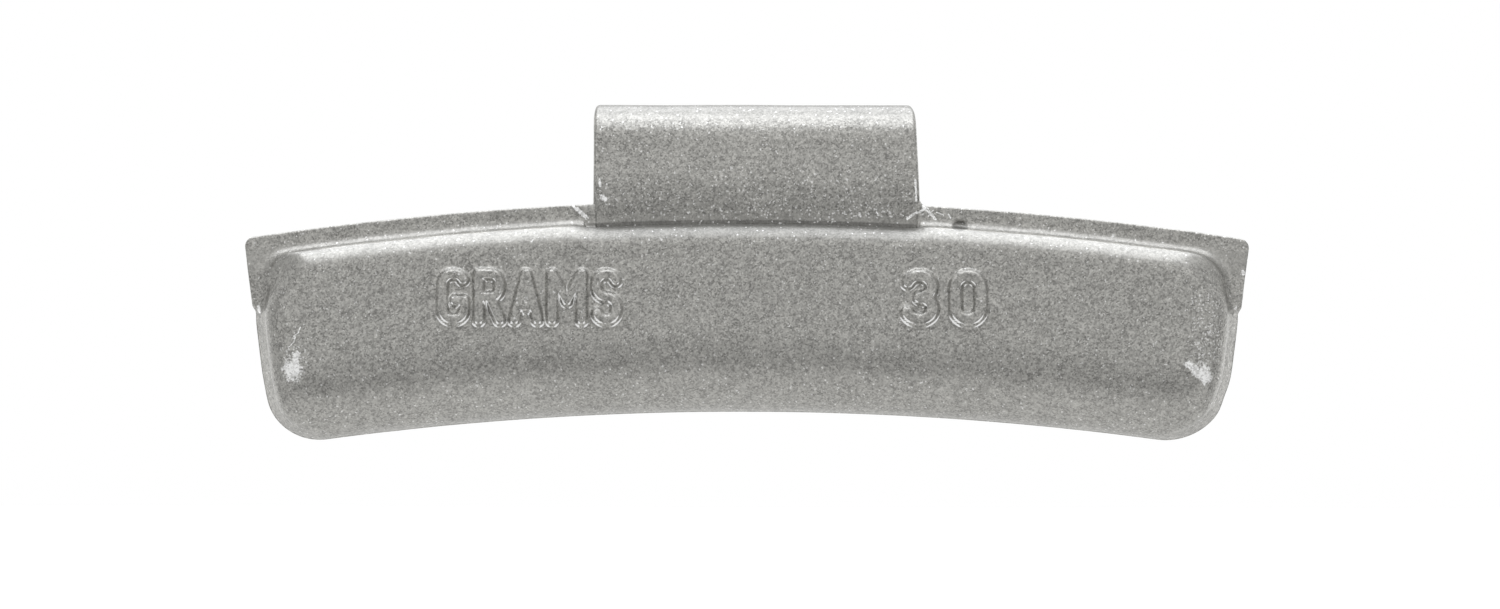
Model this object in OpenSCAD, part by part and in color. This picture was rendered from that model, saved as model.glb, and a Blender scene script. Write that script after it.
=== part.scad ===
// Clip-on wheel balance weight: a die-cast zinc body that follows the curve of the rim,
// with a bent spring-steel clip whose root is cast into it.
// X runs along the rim, -Y is the face seen from outside, +Z points to the rim's edge.
// The origin is on the flat back, halfway along the casting and halfway up it.

/* [Casting] */
// Length of the flange from end to end, across its top corners
body_length = 72; // [56:1:90]
// Height of the casting at mid length
body_height = 15.1; // [13:0.1:18]
// Thickness from the flat back to the front face
body_thickness = 4.6; // [4.2:0.1:5.5]
// Radius of the casting's top edge, which follows the rim
rim_radius = 238; // [180:1:320]
// Slope of both ends from the upright
end_slope = 7.2; // [2:0.1:10]
// Height of the straight wall round the boss at the back
back_wall = 0.5; // [0.4:0.05:0.7]
// Ledge that the parting line leaves round the boss
parting_ledge = 0.05; // [0.03:0.01:0.12]

/* [Flange] */
// Thickness of the flange along the top and the upper ends
flange_thickness = 1.4; // [1.2:0.05:1.8]
// Width of the flange band above the boss
flange_band = 1.5; // [1:0.1:2.2]
// Distance from the top edge down to where the flange ends beside the boss
flange_drop = 7.8; // [6:0.1:9]
// Step from the flange's end down to the boss's side
flange_step = 0.15; // [0.05:0.05:0.5]
// Radius of the flange's two top corners
flange_corner = 0.7; // [0.4:0.1:1.5]

/* [Boss rounding] */
// Radius of the rounding along the boss's top edge
top_round = 1.6; // [0.8:0.05:1.8]
// Width of the rounding at both ends of the boss
end_round = 2.5; // [1.6:0.1:3.4]
// Width of the rounding along the lower edge, which starts at the parting line
lower_round = 3.9; // [2.8:0.1:4.6]
// How far the walls of both ends draw in below their rounding
end_draft = 0.6; // [0.2:0.05:0.8]
// Height of the gently leaning strip above the lower rounding
lean_height = 1.9; // [0.8:0.1:2.6]
// How far that strip leans back
lean_depth = 0.14; // [0.05:0.01:0.25]
// Plan radius of the boss's upper corners
upper_corner = 2.7; // [1:0.1:3]
// Plan radius of the boss's lower corners
lower_corner = 4; // [3:0.1:4.6]
// Angle at which the boss's ends draw in beside the flange
shoulder_lean = 11; // [4:0.5:16]
// Distance from the flange's end down to where they start to draw in
knee_drop = 0.5; // [0.2:0.1:1.5]

/* [Clip] */
// Thickness of the spring strip
clip_thickness = 0.8; // [0.6:0.05:1]
// Width of the strip where it leaves the casting
clip_width = 23.3; // [16:0.1:30]
// How far the strip sits off the middle of the casting
clip_shift = 0.72; // [-2:0.02:2]
// How much narrower the strip is at its crest
clip_taper = 0.3; // [0.1:0.05:1]
// Height of the crest above the casting's top edge
clip_rise = 6.9; // [5:0.1:9]
// Outer radius of the bend over the rim's edge
bend_radius = 2.7; // [2.4:0.05:3.1]
// Radius of the strip's corners at the crest
crest_corner = 0.75; // [0.4:0.05:1.2]
// Depth of the strip's root in the casting
root_depth = 7; // [5:0.1:8.5]
// Radius of each anchor hole in the root
anchor_radius = 1.1; // [0.7:0.05:1.4]
// Distance between the two anchor holes
anchor_spacing = 12; // [8:0.5:15]

/* [Clip's free leg] */
// Angle at which the free leg closes on the casting
leg_angle = 10; // [7:0.5:13]
// Narrowest gap between the free leg and the casting's back
pinch_gap = 2.2; // [1.9:0.05:2.5]
// Angle at which the tip flares away
flare_angle = 35; // [20:1:50]
// Inner radius of the bend before the tip
flare_radius = 1; // [0.6:0.1:1.6]
// Length of the straight tip
tip_length = 1.3; // [0.8:0.1:2.5]
// Radius of the tip's two corners
tip_corner = 2.4; // [1.5:0.1:3]

/* [Hidden] */

$fn = 180;
margin = 10;

// The curves of the top and lower edges share one centre, below the part.
top_z = body_height / 2;
centre_z = top_z - rim_radius;
lower_radius = rim_radius - body_height;
boss_radius = rim_radius - flange_band;
half_length = body_length / 2;
corner_z = centre_z + sqrt(pow(rim_radius, 2) - pow(half_length, 2));
flange_end_z = top_z - flange_drop;
boss_half = half_length - flange_step;
knee_z = flange_end_z - knee_drop;
lower_height = body_thickness - lean_depth - back_wall - parting_ledge;
lean_run = [lean_depth, lean_depth, lean_height];

// The clip's places, in the plane across the part.
front_plane = -flange_thickness;
bend_inner = bend_radius - clip_thickness;
bend_y = front_plane + bend_radius;
bend_z = top_z + clip_rise - bend_radius;
root_z = top_z - root_depth;
anchor_z = root_z + root_depth / 3;
clip_left = clip_shift - clip_width / 2;
clip_right = clip_shift + clip_width / 2;
flare_outer = flare_radius + clip_thickness;
leg_drop = bend_y + bend_inner * cos(leg_angle) - pinch_gap - flare_outer * (1 - cos(leg_angle));
leg_length = leg_drop / sin(leg_angle);
flare_turn = leg_angle + flare_angle;
tip_z = bend_z - (bend_radius + flare_radius) * sin(leg_angle) - leg_length * cos(leg_angle)
    - flare_outer * sin(flare_angle) - tip_length * cos(flare_angle);
tip_crossing = 0.85;
anchor_over = 0.2;
corner_pass = 0.02;

// Counts of steps on the boss's rings: along the long arcs, round a corner, over a rounding.
arc_steps = 24;
corner_steps = 7;
round_steps = 9;

// A direction in the X-Z plane, turned clockwise from +Z.
function heading(a) = [sin(a), cos(a)];

// The angle, seen from the shared centre, of a circle's centre that lies at radius reach
// and touches from inside the line through p that leans outwards by slope as it rises.
function touch_angle(reach, p, slope, r) =
    slope + asin((p[0] * cos(slope) + (centre_z - p[1]) * sin(slope) - r) / reach);

function centre_at(reach, angle) = [0, centre_z] + reach * heading(angle);

// Points of an arc about c, from heading a0 to heading a1.
function arc(c, r, a0, a1, steps) =
    [for (i = [0:steps]) c + r * heading(a0 + (a1 - a0) * i / steps)];

function reversed(list) = [for (i = [len(list) - 1:-1:0]) list[i]];
function mirrored(list) = [for (p = list) [-p[0], p[1]]];

// The right-hand end of a plan: up from below the lower corner to above the top one.
// Its corners run a little past the long arcs, and so meet them at a real angle.
function plan_end(half, r_out, r_in, r_top, r_low) =
    let (
        low_reach = r_in + r_low - corner_pass,
        top_reach = r_out - r_top + corner_pass,
        low = touch_angle(low_reach, [half, corner_z], end_slope, r_low),
        top = touch_angle(top_reach, [half, corner_z], end_slope, r_top),
        low_arc = arc(centre_at(low_reach, low), r_low, 180 + low, 90 + end_slope, 3 * corner_steps),
        top_arc = arc(centre_at(top_reach, top), r_top, 90 + end_slope, top, 3 * corner_steps)
    )
    concat([low_arc[0] - [0, margin]], low_arc, top_arc, [top_arc[3 * corner_steps] + [0, margin]]);

// A plan between two arcs about the shared centre, with rounded corners.
module plan(half, r_out, r_in, r_top, r_low) {
    right = plan_end(half, r_out, r_in, r_top, r_low);
    intersection() {
        difference() {
            translate([0, centre_z]) circle(r = r_out, $fn = 720);
            translate([0, centre_z]) circle(r = r_in, $fn = 720);
        }
        polygon(concat(right, reversed(mirrored(right))));
    }
}

// Stands a plan up in X-Z and gives it a depth, from the back plane towards the front.
module plate(depth) {
    rotate([90, 0, 0]) linear_extrude(height = depth) children();
}

// One ring point: a plan point with its depth in front of the back plane.
function at_depth(points, d0, d1) =
    let (last = len(points) - 1)
    [for (i = [0:last])
        let (t = i / last, s = t * t * (3 - 2 * t))
        [points[i][0], -(d0 + (d1 - d0) * s), points[i][1]]];

// The right-hand half of a ring round the boss, from the middle of its lower edge
// to the middle of its top edge. in and deep hold [top, end, lower] insets and depths.
function half_ring(in, deep, r_top, r_low) =
    let (
        r_out = boss_radius - in[0],
        r_in = lower_radius + in[2],
        knee = slid([boss_half - in[1] / cos(end_slope), corner_z], knee_z),
        low = touch_angle(r_in + r_low, knee, end_slope, r_low),
        top = touch_angle(r_out - r_top, knee, -shoulder_lean, r_top),
        low_end = arc(centre_at(r_in + r_low, low), r_low, 180 + low, 90 + end_slope, corner_steps),
        top_end = arc(centre_at(r_out - r_top, top), r_top, 90 - shoulder_lean, top, corner_steps),
        side = end_path(low_end[corner_steps], knee, top_end[0])
    )
    concat(
        at_depth(arc([0, centre_z], r_in, 0, low, arc_steps), deep[2], deep[2]),
        at_depth([for (i = [1:corner_steps]) low_end[i]], deep[2], deep[1]),
        at_depth(side, deep[1], deep[1]),
        at_depth([for (i = [1:corner_steps]) top_end[i]], deep[1], deep[0]),
        at_depth([for (i = [1:arc_steps]) centre_at(r_out, top * (1 - i / arc_steps))], deep[0], deep[0])
    );

// The boss's end from its lower corner, straight up to the knee and drawn in above it.
function end_path(foot, knee, head) =
    [(foot + knee) / 2, knee, (2 * knee + head) / 3, (knee + 2 * head) / 3, head];

// A point moved along the slope of the ends to height z.
function slid(p, z) = [p[0] + (z - p[1]) * tan(end_slope), z];

function mirror_ring(points) = [for (p = points) [-p[0], p[1], p[2]]];

// A rounding at turn f, from 0 at the wall to 1 on the front: its inset and its depth.
function inset_at(width, f) = width * (1 - cos(90 * f));
function depth_at(height, depth, f) = depth - height * (1 - sin(90 * f));

// The boss's rings from inside the back wall, up the sides and over the roundings.
ring_turns = concat([-1], [for (i = [0:round_steps]) i / round_steps], [2]);
function ring_in(f) =
    f < 0 ? [0, 0, 0]
    : f > 1 ? [top_round, end_draft + end_round, lower_round] + lean_run
    : [inset_at(top_round, f), end_draft + inset_at(end_round, f), inset_at(lower_round, f)];
function ring_deep(f) =
    f < 0 ? back_wall / 2 * [1, 1, 1]
    : f > 1 ? body_thickness * [1, 1, 1]
    : [
        depth_at(top_round, body_thickness, f),
        depth_at(end_round, body_thickness, f),
        depth_at(lower_height, body_thickness - lean_depth, f)
    ];

// Corner radii shrink as the rings draw in, and never to nothing.
function shrunk(r, inset) = max(r - inset, r / 4);

function ring(f) =
    let (
        in = ring_in(f),
        ledge = parting_ledge * [1, 1, 1],
        half = half_ring(in + ledge, ring_deep(f), shrunk(upper_corner, in[0]), shrunk(lower_corner, in[2])),
        count = len(half)
    )
    concat(half, reversed([for (i = [1:count - 2]) mirror_ring(half)[i]]));

// The boss: rings joined by side faces, closed by strips across the back and the front.
module boss() {
    rings = [for (f = ring_turns) ring(f)];
    size = len(rings[0]);
    last = len(rings) - 1;
    sides = [for (k = [0:last - 1], i = [0:size - 1], side = [0, 1])
        let (j = (i + 1) % size, a = k * size, b = a + size)
        side == 0 ? [b + j, a + j, a + i] : [b + i, b + j, a + i]];
    front = [for (s = cap(last * size, size)) reversed(s)];
    back = cap(0, size);
    polyhedron(points = [for (r = rings) each r], faces = concat(sides, front, back), convexity = 4);
}

// Triangles across one ring, between its lower and upper points at the same step from the end.
function cap(start, size) =
    let (half = size / 2, lower = floor(half / 2))
    [for (side = [0, 1], i = [0:lower - 1], part = [0, 1])
        let (
            a = side == 0 ? i : (size - i) % size,
            b = side == 0 ? i + 1 : size - i - 1,
            c = side == 0 ? half - i - 1 : (half + i + 1) % size,
            d = side == 0 ? half - i : half + i,
            tri = part == 0 ? [a, b, c] : [a, c, d],
            turned = side == 0 ? tri : reversed(tri)
        )
        if (turned[0] != turned[1] && turned[1] != turned[2] && turned[0] != turned[2])
            start * [1, 1, 1] + turned];

// The strip's outline across the part: root and front leg, bend, free leg, flare and tip.
module strip_section() {
    translate([front_plane, root_z]) square([clip_thickness, bend_z - root_z]);
    translate([bend_y, bend_z]) {
        bend(bend_inner, clip_thickness, -leg_angle, 180);
        rotate(-leg_angle) {
            translate([bend_inner, -leg_length]) square([clip_thickness, leg_length]);
            translate([bend_radius + flare_radius, -leg_length]) {
                bend(flare_radius, clip_thickness, 180, 180 + flare_turn);
                rotate(flare_turn) translate([-flare_outer, -tip_length])
                    square([clip_thickness, tip_length]);
            }
        }
    }
}

// A bend of the strip, between two angles about its own centre.
module bend(inner, thickness, a0, a1) {
    reach = 2 * (inner + thickness);
    mid = (a0 + a1) / 2;
    intersection() {
        difference() {
            circle(r = inner + thickness);
            circle(r = inner);
        }
        polygon(concat([[0, 0]], [for (a = [a0, (a0 + mid) / 2, mid, (mid + a1) / 2, a1])
            reach * [cos(a), sin(a)]]));
    }
}

// The strip's outline from the front: upright on the left, drawn in to the right at the
// crest, with both crest corners rounded.
module strip_front() {
    crest = bend_z + bend_radius;
    right_top = clip_right - clip_taper;
    difference() {
        polygon([
            [clip_left, root_z - margin],
            [clip_right, root_z - margin],
            [clip_right, top_z],
            [right_top, crest + margin],
            [clip_left, crest + margin]
        ]);
        crest_cut(clip_left, crest, 1, crest_corner * 2 / 3);
        crest_cut(right_top + clip_taper * margin / (crest + margin - top_z), crest, -1, crest_corner);
    }
}

// Takes a corner off the crest, side 1 on the left and -1 on the right.
module crest_cut(x, z, side, r) {
    cx = x + side * r * tip_crossing;
    cz = z - r * tip_crossing;
    difference() {
        translate([side > 0 ? cx - 2 * margin : cx, cz]) square([2 * margin, 2 * margin]);
        translate([cx, cz]) circle(r = r);
    }
}

// Takes the two corners off the free leg's tip.
module tip_cut(x, side) {
    cx = x + side * tip_corner * tip_crossing;
    cz = tip_z + tip_corner * tip_crossing;
    translate([0, bend_y + 2 * margin, 0]) plate(2 * margin)
        difference() {
            translate([side > 0 ? cx - 2 * margin : cx, cz - 2 * margin]) square([2 * margin, 2 * margin]);
            translate([cx, cz]) circle(r = tip_corner);
        }
}

// The bent strip before its anchor holes are cut.
module strip() {
    intersection() {
        translate([clip_left - margin, 0, 0]) rotate([90, 0, 90])
            linear_extrude(height = clip_width + 2 * margin) strip_section();
        translate([0, 4 * margin, 0]) plate(8 * margin) strip_front();
    }
}

// The two anchor holes through the root, which the casting's metal fills.
module anchors() {
    behind = front_plane + clip_thickness + anchor_over;
    for (side = [-1, 1])
        translate([clip_shift + side * anchor_spacing / 2, behind, anchor_z]) rotate([90, 0, 0])
            cylinder(r = anchor_radius, h = clip_thickness + 2 * anchor_over);
}

// The root's own space in the casting: the strip below the top edge, less its anchors.
module root_space() {
    difference() {
        translate([clip_left, front_plane, root_z])
            cube([clip_width, clip_thickness, root_depth + margin]);
        anchors();
    }
}

module weight_body() {
    color([0.60, 0.60, 0.585]) difference() {
        union() {
            plate(back_wall) plan(boss_half, boss_radius, lower_radius, upper_corner, lower_corner);
            plate(flange_thickness) intersection() {
                plan(half_length, rim_radius, lower_radius, flange_corner, lower_corner);
                translate([-body_length, flange_end_z]) square([2 * body_length, body_height]);
            }
            boss();
        }
        root_space();
    }
}

module spring_clip() {
    color([0.56, 0.56, 0.55]) difference() {
        strip();
        anchors();
        tip_cut(clip_left, 1);
        tip_cut(clip_right, -1);
    }
}

weight_body();
spring_clip();
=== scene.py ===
import math
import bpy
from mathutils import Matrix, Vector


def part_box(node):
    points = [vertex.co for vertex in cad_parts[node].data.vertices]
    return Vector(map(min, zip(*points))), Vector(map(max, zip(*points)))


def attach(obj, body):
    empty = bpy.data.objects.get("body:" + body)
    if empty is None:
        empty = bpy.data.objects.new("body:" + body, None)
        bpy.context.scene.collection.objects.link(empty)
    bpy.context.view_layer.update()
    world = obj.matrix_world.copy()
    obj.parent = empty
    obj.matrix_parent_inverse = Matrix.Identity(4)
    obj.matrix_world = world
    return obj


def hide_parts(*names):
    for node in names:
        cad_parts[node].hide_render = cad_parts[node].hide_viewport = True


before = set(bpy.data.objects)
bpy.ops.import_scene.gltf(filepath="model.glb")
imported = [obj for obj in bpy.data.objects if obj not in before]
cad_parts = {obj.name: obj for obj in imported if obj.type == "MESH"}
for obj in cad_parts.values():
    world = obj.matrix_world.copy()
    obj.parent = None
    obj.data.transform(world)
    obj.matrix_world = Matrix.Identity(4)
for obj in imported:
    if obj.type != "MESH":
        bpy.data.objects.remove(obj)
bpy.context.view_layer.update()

from types import SimpleNamespace

import bpy
import numpy as np
from bpy.props import FloatProperty, FloatVectorProperty, PointerProperty, StringProperty
from mathutils import Euler

# Clip-on wheel balance weight: a painted zinc casting with raised characters, and the bent
# spring-steel clip cast into it. X runs along the rim, -Y is the face seen from outside and
# +Z points to the rim's edge. Shapes are worked out with numpy in millimetres and put into
# the mesh in metres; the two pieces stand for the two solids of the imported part.

bl_info = {
    "name": "Wheel balance weight",
    "version": (1, 0, 0),
    "blender": (4, 5, 0),
    "location": "View3D > Sidebar > Balance weight",
    "description": "Builds a clip-on wheel balance weight with its paint, lettering and studio",
    "category": "Object",
}

MM = 0.001
BODY = "root"
CASTING_NODE = "weight_body"
CLIP_NODE = "spring_clip"
BOX_SLACK = 0.35
# What every property group has besides its settings.
OWN_PROPERTIES = ("rna_type", "name")
WHITE = (1, 1, 1, 1)


def number(name, description, value, **values):
    return FloatProperty(name=name, description=description, default=value, **values)


def length(name, description, millimetres):
    return number(name, description, millimetres * MM, precision=5, unit="LENGTH")


def turn(name, description, degrees):
    return number(name, description, math.radians(degrees), unit="ROTATION")


def share(name, description, value):
    return number(name, description, value, min=0, max=1, subtype="FACTOR")


def colour(name, description, value):
    return FloatVectorProperty(name=name, description=description, default=value, size=3,
                               min=0, max=1, subtype="COLOR")


def in_millimetres(settings):
    """A property group's values by name, with every length in millimetres."""
    values = {}
    for prop in settings.bl_rna.properties:
        if prop.identifier not in OWN_PROPERTIES:
            value = getattr(settings, prop.identifier)
            values[prop.identifier] = value / MM if prop.unit == "LENGTH" else value
    return SimpleNamespace(**values)


class CastingSettings(bpy.types.PropertyGroup):
    """Sizes of the zinc casting."""

    half_length: length("Half length", "From the middle to the flange's top corners", 36)
    height: length("Height", "Height of the casting at mid length", 15.1)
    thickness: length("Thickness", "From the back to the face that the characters rise from", 4.5)
    rim_radius: length("Rim radius", "Radius of the casting's top edge", 238)
    end_slope: turn("End slope", "Slope of both ends from the upright", 7.2)
    flange_thickness: length("Flange thickness", "Thickness of the flange", 1.4)
    flange_band: length("Flange band", "Width of the flange above the boss", 1.5)
    flange_drop: length("Flange drop", "From the top edge down to the flange's end", 7.8)
    flange_step: length("Flange step", "Step from the flange's end to the boss's side", 0.07)
    flange_corner: length("Flange corner", "Radius of the flange's top corners", 0.7)
    back_wall: length("Back wall", "Height of the straight wall at the back", 0.5)
    parting_ledge: length("Parting ledge", "Ledge left by the parting line", 0.05)
    top_round: length("Top rounding", "Radius along the boss's top edge", 1.45)
    end_round: length("End rounding", "Width of the rounding at both ends", 2.5)
    lower_round: length("Lower rounding", "Width of the rounding along the lower edge", 3.9)
    end_draft: length("End draft", "How far the end walls draw in", 0.6)
    lean_height: length("Lean height", "Height of the leaning strip above the rounding", 1.9)
    lean_depth: length("Lean depth", "How far that strip leans back", 0.14)
    left_corner: length("Left corner", "Plan radius of the boss's upper left corner", 2.0)
    right_corner: length("Right corner", "Plan radius of the boss's upper right corner", 3.1)
    left_foot: length("Left foot", "Plan radius of the boss's lower left corner", 4)
    right_foot: length("Right foot", "Plan radius of the boss's lower right corner", 4.7)
    shoulder_lean: turn("Shoulder lean", "Lean of the boss's ends beside the flange", 11)
    knee_drop: length("Knee drop", "From the flange's end to where they draw in", 0.5)
    edge_round: length("Edge rounding", "Rounding of the flange's and the back's edges", 0.12)
    top_fillet: length("Top fillet", "Fillet between the flange and the boss's top", 0.64)
    end_fillet: length("End fillet", "Fillet between the flange and the boss's ends", 0.5)
    web_round: length("Web rounding", "Fillet of zinc beside the clip's right edge", 0.43)
    foot_z: length("Foot height", "Height at which both ends draw in", -6.4)
    left_draw: length("Left draw", "How far the left end draws in there", 0.10)
    right_draw: length("Right draw", "How far the right end draws in there", 0.20)
    left_ease: share("Left ease", "How softly the left end rises out of the flange", 1.0)
    right_ease: share("Right ease", "How softly the right end rises out of the flange", 0.75)
    sag: length("Sag", "How much lower the boss's top lies under the clip", 0.17)
    ripple: length("Ripple", "Height of the soft unevenness of the cast surface", 0.016)


class LetteringSettings(bpy.types.PropertyGroup):
    """The raised characters on the casting's face."""

    unit_word: StringProperty(name="Unit", description="Word raised on the left", default="GRAMS")
    mass_figure: StringProperty(name="Mass", description="Figure raised on the right", default="30")
    unit_left: length("Unit's left edge", "Where the word starts", -22.1)
    mass_left: length("Mass's left edge", "Where the figure starts", 10.9)
    base: length("Base line", "Height of the foot of the characters", -1.4)
    figure_height: length("Character height", "Height of the characters", 4.05)
    stroke: length("Stroke", "Width of a character's stroke at half its height", 0.92)
    relief: length("Relief", "How far the characters stand out", 0.36)
    soft_edge: length("Soft edge", "Width of the sloping sides of a stroke", 0.40)


class ClipSettings(bpy.types.PropertyGroup):
    """Sizes of the bent spring clip."""

    thickness: length("Thickness", "Thickness of the spring strip", 0.8)
    width: length("Width", "Width where the strip leaves the casting", 23.38)
    shift: length("Shift", "How far it sits off the casting's middle", 0.68)
    taper: length("Taper", "How much narrower it is at its crest", 0.3)
    rise: length("Rise", "Height of the crest above the casting's top", 6.9)
    bend_radius: length("Bend radius", "Outer radius of the bend over the rim", 2.7)
    root_depth: length("Root depth", "How deep the modelled strip goes into the casting", 3)
    leg_angle: turn("Leg angle", "Angle at which the free leg closes", 10)
    pinch_gap: length("Pinch gap", "Narrowest gap behind the casting", 2.2)
    flare_angle: turn("Flare angle", "Angle at which the tip flares away", 35)
    flare_radius: length("Flare radius", "Inner radius of the bend before the tip", 1)
    tip_length: length("Tip length", "Length of the straight tip", 1.3)
    tip_corner: length("Tip corner", "Radius of the tip's two corners", 2.4)
    outer_edge: length("Outer edge", "Rounding of the strip's outer edges", 0.38)
    inner_edge: length("Inner edge", "Rounding of the strip's inner edges", 0.26)
    bow: length("Bow", "How far the front leg bows forward", 0.12)


class PaintSettings(bpy.types.PropertyGroup):
    """The silver paint over both pieces."""

    base: colour("Paint", "Mean colour of the silver paint", (0.356, 0.351, 0.331))
    # This colour also paints the glints at the casting's lower corners, the shining flakes and the
    # highlights on the characters' lower edges.
    bare_and_highlight: colour("Bare metal", "Colour where the paint is rubbed through", (0.93, 0.93, 0.92))
    metallic: share("Metallic", "How metallic the paint is", 0.8)
    roughness: share("Roughness", "Roughness of the paint on the clip", 0.34)
    cast_roughness: share("Cast roughness", "Roughness of the paint on the casting", 0.38)
    flake: length("Flake", "Width of a flake of the paint", 0.108)
    contrast: share("Contrast", "How much the flakes differ in tone", 0.48)
    tilt: share("Tilt", "How much the flakes lean out of the surface", 0.12)
    glitter: share("Glitter", "Share of the flakes that shine", 0.014)
    orange_peel: length("Orange peel", "Depth of the paint's soft waves", 0.004)


class StudioSettings(bpy.types.PropertyGroup):
    """Camera, floor and lamps."""

    distance: length("Distance", "From the camera to the part", 895.3)
    focal_length: number("Focal length", "Lens of the camera in its own millimetres", 300)
    aim_x: length("Aim X", "Where the camera looks along the part", 0.22)
    aim_z: length("Aim Z", "Where the camera looks up the part", 0.13)
    roll: turn("Roll", "Turn of the camera about its own axis", -0.11)
    floor_drop: length("Floor drop", "From the part's middle down to the floor", 112)
    surround: number("Surround", "Strength of the white surround on matt surfaces", 0.55)
    overhead: number("Overhead", "Power of the overhead lamp in watts", 2.4)
    forward: number("Forward lamp", "Power of the lamp before the overhead one", 0.76)


# Counts of steps along the rings of the casting: beside a corner and round it, and then up
# the foot, the step and the head of an end.
TANGENT_STEPS, CORNER_STEPS = 6, 24
FOOT_STEPS, STEP_STEPS, HEAD_STEPS = 30, 8, 30
SIDE_STEPS = FOOT_STEPS + STEP_STEPS + HEAD_STEPS
# How far below and above the flange's end the step there reaches, in millimetres.
STEP_BELOW, STEP_ABOVE = 0.40, 0.25
# The blow hole in the crease: its middle (X, Z), half sizes and depth in millimetres.
PIT_CENTRE, PIT_HALF, PIT_DEPTH = (15.22, 5.77), (0.62, 0.42), 0.24
QUARTER = math.pi / 2


def smooth(t):
    """Smoothstep: 0 below 0, 1 above 1, and three t squared less two t cubed between."""
    t = np.clip(t, 0, 1)
    return t * t * (3 - 2 * t)


def within(x, low, high, rise, fall):
    """1 between low and high: it rises over a width from low, and falls over one to high."""
    return smooth((x - low) / rise) * smooth((high - x) / fall)


def mix(weight, a, b):
    """a where the weight is 0 and b where it is 1."""
    return (1 - weight) * a + weight * b


def heading(angle):
    """Directions in the X-Z plane, turned clockwise from +Z."""
    return np.stack([np.sin(angle), np.cos(angle)], axis=-1)


def casting_plan(settings):
    """Adds the derived sizes. Top and lower edge are arcs about one centre below the part."""
    c = in_millimetres(settings)
    c.top_z = c.height / 2
    c.centre_z = c.top_z - c.rim_radius
    c.lower_radius = c.rim_radius - c.height
    c.boss_radius = c.rim_radius - c.flange_band
    c.corner_z = c.centre_z + math.sqrt(c.rim_radius ** 2 - c.half_length ** 2)
    c.flange_end_z = c.top_z - c.flange_drop
    c.boss_half = c.half_length - c.flange_step
    c.knee_z = c.flange_end_z - c.knee_drop
    c.step_low = c.flange_end_z - STEP_BELOW
    c.step_high = c.flange_end_z + STEP_ABOVE
    c.columns = column_angles(c)
    c.lean_radius = c.lower_radius + c.lower_round + c.lean_height
    return c


def column_angles(c):
    """Angles of the straight columns, close together over the characters and the web."""
    coarse, fine, finest = 0.42, 0.1, 0.05
    spans = [(0, 8.6, coarse), (8.6, 12.33, fine), (12.33, 12.85, finest), (12.85, 22.6, fine),
             (22.6, 29, coarse)]
    x = [np.linspace(a, b, round((b - a) / step), endpoint=False) for a, b, step in spans]
    x = np.concatenate(x + [[29.0]])
    return np.arcsin(x / (c.lower_radius + c.height / 2))


def at_radius(c, radius, angle):
    """Points at a radius from the shared centre, turned by an angle from the upright."""
    return np.array([0, c.centre_z]) + radius * heading(np.asarray(angle, float))


def corner_arc(c, reach, radius, point, slope, low=False):
    """A round corner: the arc of a circle, at reach from the shared centre, that touches from
    inside the line through a point that leans outwards by slope as it rises. It runs on to
    the top edge, or comes from the lower one. The angle of its centre comes with it."""
    off = point[0] * math.cos(slope) + (c.centre_z - point[1]) * math.sin(slope) - radius
    angle = slope + math.asin(off / reach)
    side = QUARTER + slope
    ends = (math.pi + angle, side) if low else (side, angle)
    turns = np.linspace(*ends, CORNER_STEPS + 1)
    return angle, at_radius(c, reach, angle) + radius * heading(turns)


def slid(c, x, z):
    """The X at height z of the end line that is at x at the height of the corner."""
    return x + (z - c.corner_z) * math.tan(c.end_slope)


def side_heights(c, foot, head):
    """Heights up one end in even steps: from the foot to the flange's end, over the step there
    and on to the head."""
    return np.concatenate([
        np.linspace(foot, c.step_low, FOOT_STEPS + 1)[1:],
        np.linspace(c.step_low, c.step_high, STEP_STEPS + 1)[1:],
        np.linspace(c.step_high, head, HEAD_STEPS + 1)[1:],
    ])


def top_run(c, radius, angle, arc):
    """The end of half a ring: round its top corner to the middle of its top edge."""
    return np.concatenate([
        arc[1:],
        at_radius(c, radius, np.linspace(angle, c.columns[-1], TANGENT_STEPS + 1)[1:-1]),
        at_radius(c, radius, c.columns[::-1]),
    ])


def boss_ring(c, top_in, end_in, low_in):
    """Half a ring round the boss, from the middle of its lower edge, drawn in by three insets.
    Each end is a line up to the knee and a leaning line above it, joined softly: their mean
    less the root of the squares of half their difference and of a small width."""
    knee_width = 0.08
    r_top = max(c.upper_corner - top_in, c.upper_corner / 4)
    r_low = max(c.lower_corner - low_in, c.lower_corner / 4)
    r_out = c.boss_radius - top_in
    r_in = c.lower_radius + low_in
    knee = (slid(c, c.boss_half - end_in / math.cos(c.end_slope), c.knee_z), c.knee_z)
    low, low_arc = corner_arc(c, r_in + r_low, r_low, knee, c.end_slope, low=True)
    top, top_arc = corner_arc(c, r_out - r_top, r_top, knee, -c.shoulder_lean)
    z = side_heights(c, low_arc[-1, 1], top_arc[0, 1])
    below = knee[0] + (z - c.knee_z) * math.tan(c.end_slope)
    above = knee[0] - (z - c.knee_z) * math.tan(c.shoulder_lean)
    x = (below + above) / 2 - np.hypot((below - above) / 2, knee_width)
    x = mix(within(z, z[0], z[-1], 1, 1), np.minimum(below, above), x)
    return np.concatenate([
        at_radius(c, r_in, c.columns),
        at_radius(c, r_in, np.linspace(c.columns[-1], low, TANGENT_STEPS + 1)[1:]),
        low_arc[1:],
        np.stack([x, z], -1),
        top_run(c, r_out, top, top_arc),
    ])


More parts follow.
